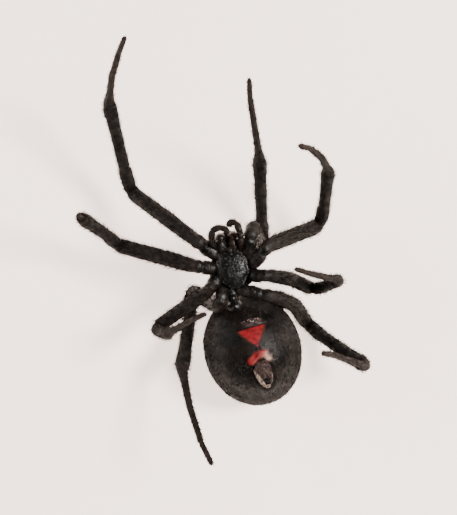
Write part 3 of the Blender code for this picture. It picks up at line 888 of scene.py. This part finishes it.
def make_palps(skin_material, coat_material):
    """Each palp: trochanter, femur, patella, tibia and tarsus as swellings along its curl."""
    ends = (0.0, 0.12, 0.42, 0.56, 0.74, 1.0)
    profile = [(0.0, 0.15)]
    for start, end, size in zip(ends, ends[1:], (0.175, 0.190, 0.20, 0.195, 0.170)):
        for share, scale in ((0.06, 0.86), (0.3, 1.0), (0.75, 1.04), (0.95, 0.88)):
            profile.append((start + share * (end - start), size * scale))
    profile.append((1.0, 0.05))
    for side, corners in PALPS.items():
        limb = Limb(corners, [0.3] * (len(corners) - 2), evenly(profile, 1.0), 0.03)

        def tan(s):
            return np.interp(s, (0.0, limb.length * 0.4, limb.length), (0.1, 0.35, 0.6))

        name = "palp_" + side
        place_piece(limb.skin(name + "_skin", tan, 24), skin_material, "tarsus", name)
        hairs = limb_hairs(limb, 0.2, limb.length - 0.02, 0.16, 0.12, 130, 0, 1, tan)
        place_piece(hair_mesh(name + "_coat", [hairs]), coat_material, "tarsus")


def make_eyes(material):
    """Two rows of four on the front of the carapace."""
    profile = ((0.0, 0.8), (0.25, 1.0), (0.6, 0.85), (0.85, 0.5), (1.0, 0.18))
    shells = []
    for z, scale, spread in ((-1.36, 0.985, (0.17, 0.50)), (-1.66, 0.90, (0.20, 0.56))):
        for k, x in enumerate(spread):
            for sign in (-1, 1):
                front = CARAPACE_MIDDLE + (CARAPACE_LENGTH[1] - CARAPACE_MIDDLE) * scale * (1 - 0.09 * k)
                centre = yawed(np.array((sign * x, front - 0.05, z)))
                eye = rod(centre - (0, 0.02, 0), centre + (0, 0.075, 0), 0.085, profile, 0.01)
                shells.append(eye)
    place_piece(build("eyes", *joined(shells)), material, "cuticle")


def make_claws(limbs, material):
    """Three claws at the end of each foot."""
    profile = ((0.0, 1.0), (0.5, 0.8), (1.0, 0.15))
    shells = []
    for limb in limbs:
        tip = limb.centre[-1]
        ahead = limb.heading[-1]
        side = limb.side[-1]
        down = limb.up[-1]
        for across, length in ((-0.05, 0.15), (0.05, 0.15), (0.0, 0.10)):
            start = tip - ahead * 0.05 + side * across
            bend = tip + ahead * length * 0.6 + side * across * 1.3
            end = bend + ahead * length * 0.25 - down * length * 0.45
            shells.append(rod(start, end, 0.022, profile, 0.012, 10, (0.06,), (bend,)))
    place_piece(build("claws", *joined(shells)), material, "tarsus")


# Materials

class Field:
    """A value that varies over a surface, as one output of its paint's nodes."""

    def __init__(self, paint, socket):
        self.paint = paint
        self.socket = socket

    def math(self, operation, other=0.0):
        node = self.paint.nodes.new("ShaderNodeMath")
        node.operation = operation
        return self.paint.wired(node, {0: self, 1: other})

    def __add__(self, other):
        return self.math("ADD", other)

    def __sub__(self, other):
        return self.math("SUBTRACT", other)

    def __mul__(self, other):
        return self.math("MULTIPLY", other)

    def __abs__(self):
        return self.math("ABSOLUTE")

    def ramp(self, low, high, to_low=0.0, to_high=1.0, kind="LINEAR"):
        node = self.paint.nodes.new("ShaderNodeMapRange")
        node.interpolation_type = kind
        return self.paint.wired(node, {0: self, 1: low, 2: high, 3: to_low, 4: to_high})

    def ease(self, low, high, to_low=0.0, to_high=1.0):
        return self.ramp(low, high, to_low, to_high, "SMOOTHSTEP")


class Paint:
    """A material, with short calls for the nodes that the surfaces here use."""

    def __init__(self, name, ior, roughness=0.5, **constants):
        self.material = bpy.data.materials.new(name)
        self.material.use_nodes = True
        self.nodes = self.material.node_tree.nodes
        self.links = self.material.node_tree.links
        self.shader = self.nodes["Principled BSDF"]
        for socket, value in {"IOR": ior, "Roughness": roughness, **constants}.items():
            self.shader.inputs[socket.replace("_", " ")].default_value = value
        metres = self.wired(self.nodes.new("ShaderNodeTexCoord"), {}, "Object")
        scale = self.nodes.new("ShaderNodeVectorMath")
        scale.operation = "SCALE"
        self.place = self.wired(scale, {0: metres, "Scale": 1 / MM})

    def wired(self, node, inputs, output=0):
        """Links or sets a node's inputs, colours as opaque, and gives one of its outputs."""
        for key, value in inputs.items():
            if isinstance(value, Field):
                self.links.new(value.socket, node.inputs[key])
            elif isinstance(value, tuple):
                node.inputs[key].default_value = (*value, 1.0)
            else:
                node.inputs[key].default_value = value
        return Field(self, node.outputs[output])

    def noise(self, scale, detail=3.0, place=None):
        node = self.nodes.new("ShaderNodeTexNoise")
        return self.wired(node, {"Scale": scale, "Detail": detail, "Vector": place or self.place})

    def cells(self, scale, place=None):
        node = self.nodes.new("ShaderNodeTexVoronoi")
        return self.wired(node, {"Scale": scale, "Vector": place or self.place}, "Distance")

    def mix(self, factor, a, b):
        node = self.nodes.new("ShaderNodeMix")
        node.data_type = "RGBA"
        return self.wired(node, {"Factor": factor, "A": a, "B": b}, "Result")

    def stretched(self, around, along):
        """The limb's own uv, scaled round and along it."""
        uv = self.nodes.new("ShaderNodeUVMap")
        uv.uv_map = "lie"
        node = self.nodes.new("ShaderNodeMapping")
        node.inputs["Scale"].default_value = (around, along, 1.0)
        return self.wired(node, {"Vector": self.wired(uv, {})})

    def value(self, name):
        node = self.nodes.new("ShaderNodeAttribute")
        node.attribute_name = name
        return self.wired(node, {}, "Fac")

    def along(self, row, offset):
        """Place along a direction, in millimetres."""
        node = self.nodes.new("ShaderNodeVectorMath")
        node.operation = "DOT_PRODUCT"
        node.inputs[1].default_value = row
        return self.wired(node, {0: self.place}, "Value") + offset

    def bump(self, height, depth, below=None):
        """A bump whose full height is depth millimetres."""
        inputs = {"Distance": depth * MM, "Height": height}
        if below:
            inputs["Normal"] = below
        return self.wired(self.nodes.new("ShaderNodeBump"), inputs)

    def finish(self, colour, roughness=None, normal=None):
        inputs = {"Base Color": colour, "Roughness": roughness, "Normal": normal}
        self.wired(self.shader, {key: value for key, value in inputs.items() if value})
        return self.material


def axes(paint, centre, *ends):
    """Places along the lines from a centre to each end, all in the body's axes, in millimetres."""
    zero, *ends = body_to_world([centre, *ends]) / MM
    return [paint.along(end - zero, -float((end - zero) @ zero)) for end in ends]


def body_axes(paint):
    """Across and forward from the breast plate's centre."""
    return axes(paint, (0.0, 0.0, 0.0), (1.0, 0.0, 0.0), (0.0, 1.0, 0.0))


def leg_paint():
    """Black and glossy beside the body, duller further out, brown at the feet."""
    paint = Paint("leg_cuticle", 1.31)
    colour = paint.mix(paint.noise(2.2, 4.0).ramp(0.38, 0.66), BLACK, BROWN_BLACK)
    colour = paint.mix(paint.value("tan"), colour, BROWN)
    fine = paint.noise(1.0, 3.0, paint.stretched(38.0, 9.0))
    pits = paint.cells(1.0, paint.stretched(14.0, 9.0))
    across, forward = body_axes(paint)
    spread = across * across + forward * forward
    rough = fine.ramp(0.3, 0.7, 0.15, 0.34) + spread.ramp(5.0, 8.5, 0.0, 0.42)
    folds = paint.bump(paint.noise(3.2), 0.05)
    low = paint.bump(pits.ramp(0.0, 0.35), 0.018, folds)
    return paint.finish(colour, rough, paint.bump(fine, 0.020, low))


def coat_paint(name, markings=None):
    """Dark hair, from black to dark brown, with the markings of the skin below if it has any, and the
    highlights and shade painted among them.
    """
    paint = Paint(name, 1.08)
    colour = paint.mix(paint.noise(6.0, 2.0).ramp(0.3, 0.7), HAIR_BLACK, HAIR_BROWN)
    colour = paint.mix(paint.value("tan"), colour, HAIR_TAN)
    if markings:
        colour = markings(paint, colour)
    return paint.finish(colour, paint.noise(9.0, 1.0).ramp(0.3, 0.7, 0.55, 0.7))


def abdomen_place(paint):
    """Across from the middle line, forward and up on the abdomen."""
    across, forward, up = axes(paint, ABDOMEN_CENTRE, *abdomen_point(np.eye(3)))
    return across - MIDLINE, forward, up


def bar_distance(across, forward, start, end, radius):
    """Distance outside a rounded bar between two places on the belly, in millimetres."""
    run = (end[0] - start[0], end[1] - start[1])
    size = run[0] ** 2 + run[1] ** 2
    x = across - start[0]
    y = forward - start[1]
    share = x * (run[0] / size) + y * (run[1] / size)
    share = share.math("MINIMUM", 1.0).math("MAXIMUM", 0.0)
    x = x - share * run[0]
    y = y - share * run[1]
    return (x * x + y * y).math("SQRT") - radius


def belly_marks_and_painted_light(paint, colour):
    """The belly's red triangle, the curved red bar behind it with a painted highlight at its rear end, the
    furrow with painted shade in it, and the plate before it with painted glints.
    """
    across, forward, up = abdomen_place(paint)
    belly = up.ramp(0.5, 0.9)
    wobble = paint.noise(3.5).ramp(0.0, 1.0, -0.09, 0.09)
    fine = paint.noise(11.0, 2.0).ramp(0.0, 1.0, -0.05, 0.05)
    line = forward + across * 0.042
    behind = line.ease(1.365, 1.325)

    inside = forward.ramp(0.12, 1.28, 0.02, 0.80) - (abs(across - 0.06) + wobble + fine)
    front = inside.ease(-0.03, 0.06) * forward.ease(0.04, 0.18) * behind
    fringe = inside.ease(-0.20, 0.0, 0.0, 0.9) * forward.ease(0.25, 0.60) * behind

    bar, *stretches = (bar_distance(across, forward, *stretch) for stretch in BAR)
    for stretch in stretches:
        bar = bar.math("MINIMUM", stretch)
    bar = bar + wobble
    # Towards the bar's rear right end its colour also spreads softly past its edge: a painted highlight of
    # the key light's glare.
    rearward = across * 0.6 - forward * 0.8
    soft = bar.ease(0.17, -0.14) * rearward.ramp(0.35, 0.65)
    bar = bar.ease(0.09, -0.10).math("MAXIMUM", soft)
    link = bar_distance(across, forward, (0.10, 0.15), (0.20, -0.20), 0.03) + fine
    link = link.ease(0.05, -0.04, 0.0, 0.7)

    red = paint.mix(paint.noise(5.0).ramp(0.35, 0.62), DARK_RED, RED)
    red = paint.mix(paint.noise(1.6, 1.0).ramp(0.3, 0.6, 0.35, 0.0), red, RED)
    # The bar turns pink towards its rear end, which is its own paler tone, then cream, which is a painted
    # highlight of the glare.
    pale = paint.mix(rearward.ramp(0.22, 0.50, 0.0, 0.9), red, PINK)
    pale = paint.mix((rearward + wobble).ramp(0.46, 0.74, 0.0, 0.95), pale, GLARE_CREAM)
    pale = paint.mix(abs(across + 0.50).ramp(0.25, 0.0, 0.0, 0.3), pale, PINK)
    for share, tone in ((fringe, FRINGE), (link, DARK_RED), (front, red), (bar, pale)):
        colour = paint.mix(share * belly, colour, tone)

    plate = abs(across - 0.18).ease(0.70, 0.46) * line.ease(1.42, 1.46)
    plate = plate * (line + wobble).ease(1.92, 1.72) * belly
    tone = paint.mix(paint.noise(4.5).ramp(0.38, 0.62), PLATE_DARK, PLATE_LIGHT)
    colour = paint.mix(plate, colour, tone)
    # Bright specks over the plate's rear rows: painted highlights, glints of the key light.
    painted_glints = plate * paint.cells(7.5).ease(0.36, 0.22) * line.ramp(1.56, 1.70)
    colour = paint.mix(painted_glints, colour, GLINT_SPECK)

    # Near-black along the furrow's line: painted shade in the crease.
    groove = abs(line - FURROW).ease(0.065, 0.03) * abs(across).ease(1.25, 0.85) * belly
    return paint.mix(groove, colour, FURROW_SHADE)


def abdomen_paint():
    """Black and glossy on the belly, duller towards the sides and the back, and browner there as a painted
    reflection of the bright floor.
    """
    paint = Paint("abdomen_skin", 1.28)
    colour = paint.mix(paint.noise(1.0, 4.0).ramp(0.44, 0.60), BLACK, BELLY_BROWN)
    _, _, up = abdomen_place(paint)
    # Brown towards the sides and back: painted reflection of the bright floor, laid on by height over the
    # abdomen.
    rim_reflection = (up + paint.noise(2.0).ramp(0.0, 1.0, -0.5, 0.5)).ramp(1.5, 0.2)
    colour = belly_marks_and_painted_light(paint, paint.mix(rim_reflection, colour, RIM_REFLECTION_BROWN))
    grain = paint.noise(22.0)
    low = paint.bump(paint.cells(8.0).ramp(0.0, 0.4), 0.042)
    rough = grain.ramp(0.3, 0.7, 0.07, 0.17) + up.ramp(2.1, 1.3, 0.0, 0.58)
    return paint.finish(colour, rough, paint.bump(grain, 0.024, low))


def plain_paint(name, dark, light, roughness, grain):
    """A glossy hard surface whose colour drifts between two tones."""
    paint = Paint(name, 1.38, roughness)
    colour = paint.mix(paint.noise(grain).ramp(0.35, 0.65), dark, light)
    return paint.finish(colour, None, paint.bump(paint.noise(grain * 6, 2.0), 0.006))


def prosoma_paint():
    """Black plates, pitted and granular, browner towards the mouth on the left side only: partly the mouth's
    own brown, partly painted light where the left jaw is lit.
    """
    paint = Paint("prosoma_cuticle", 1.34)
    colour = paint.mix(paint.noise(2.6, 4.0).ramp(0.4, 0.66), BLACK, PLATE_BLACK)
    across, forward = body_axes(paint)
    # Brown towards the mouth, kept to the left of the middle: partly the mouth's own brown, partly painted
    # light on the lit side.
    brown = forward.ramp(1.15, 1.75, 0.0, 0.8) * across.ramp(-0.45, -0.25)
    colour = paint.mix(brown, colour, LIT_MOUTH_BROWN)
    pits = paint.bump(paint.cells(6.0).ramp(0.0, 0.42), 0.040)
    grain = paint.noise(24.0)
    return paint.finish(colour, grain.ramp(0.3, 0.7, 0.16, 0.32), paint.bump(grain, 0.018, pits))


def floor_paint():
    """A plain pale surface, lit a little from within so that it stays even."""
    paint = Paint("floor", 1.5, 0.7, Specular_IOR_Level=0.2, Emission_Color=FLOOR_GLOW,
                  Emission_Strength=2.3)
    return paint.finish(paint.mix(paint.noise(0.05, 2.0).ramp(0.3, 0.7), FLOOR_DARK, FLOOR_LIGHT))


# Stage, camera and lights

def make_floor(material):
    mesh = bpy.data.meshes.new("floor")
    square = [(x * FLOOR_HALF, y * FLOOR_HALF, 0) for x, y in ((-1, -1), (1, -1), (1, 1), (-1, 1))]
    mesh.from_pydata(square, [], [(0, 1, 2, 3)])
    mesh.materials.append(material)
    new_object("floor", mesh)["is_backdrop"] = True


def make_camera():
    data = bpy.data.cameras.new("camera")
    data.sensor_fit = "AUTO"
    data.sensor_width = 36.0
    data.lens = data.sensor_width * CAMERA_DISTANCE / VIEW_WIDTH
    data.clip_start = 0.01
    data.clip_end = 10.0
    camera = new_object("camera", data)
    camera.location = body_to_world((*CAMERA_PLACE, CAMERA_DISTANCE))[0]
    camera.rotation_euler = (PITCH, 0.0, 0.0)
    bpy.context.scene.camera = camera


def make_light(name, azimuth, elevation, distance, size, watts, colour):
    """A soft panel that faces the abdomen's belly, azimuth from the world's +X."""
    data = bpy.data.lights.new(name, "AREA")
    data.shape = "DISK"
    data.size = size
    data.energy = watts
    data.color = colour
    light = new_object(name, data)
    away = direction(azimuth, elevation)
    light.location = Vector(body_to_world(LIGHT_AIM)[0]) + away * distance
    light.rotation_euler = away.to_track_quat("Z", "Y").to_euler()


def make_lights():
    world = bpy.data.worlds.new("studio")
    world.use_nodes = True
    background = world.node_tree.nodes["Background"]
    background.inputs["Color"].default_value = SKY
    background.inputs["Strength"].default_value = SKY_STRENGTH
    bpy.context.scene.world = world
    for name, look in LIGHTS.items():
        make_light(name, *look)


def main():
    make_camera()
    make_lights()
    make_floor(floor_paint())
    plain = {name: plain_paint(name, *look) for name, look in PLAIN.items()}
    leg_hair = coat_paint("leg_hair")
    cuticle = prosoma_paint()
    limbs = make_legs(leg_paint(), leg_hair)
    make_claws(limbs, plain["claw"])
    make_prosoma(cuticle, leg_hair)
    make_chelicerae(plain, leg_hair)
    make_palps(leg_paint(), leg_hair)
    make_eyes(plain["eye"])
    make_abdomen(abdomen_paint(), coat_paint("abdomen_hair", belly_marks_and_painted_light))
    make_pedicel(cuticle)
    make_spinnerets(plain, leg_hair)


main()


def corners(low_high):
    return [list(corner) for corner in low_high]


{"cad": corners((CAD_LOW, CAD_HIGH)), "visual": corners(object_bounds())}
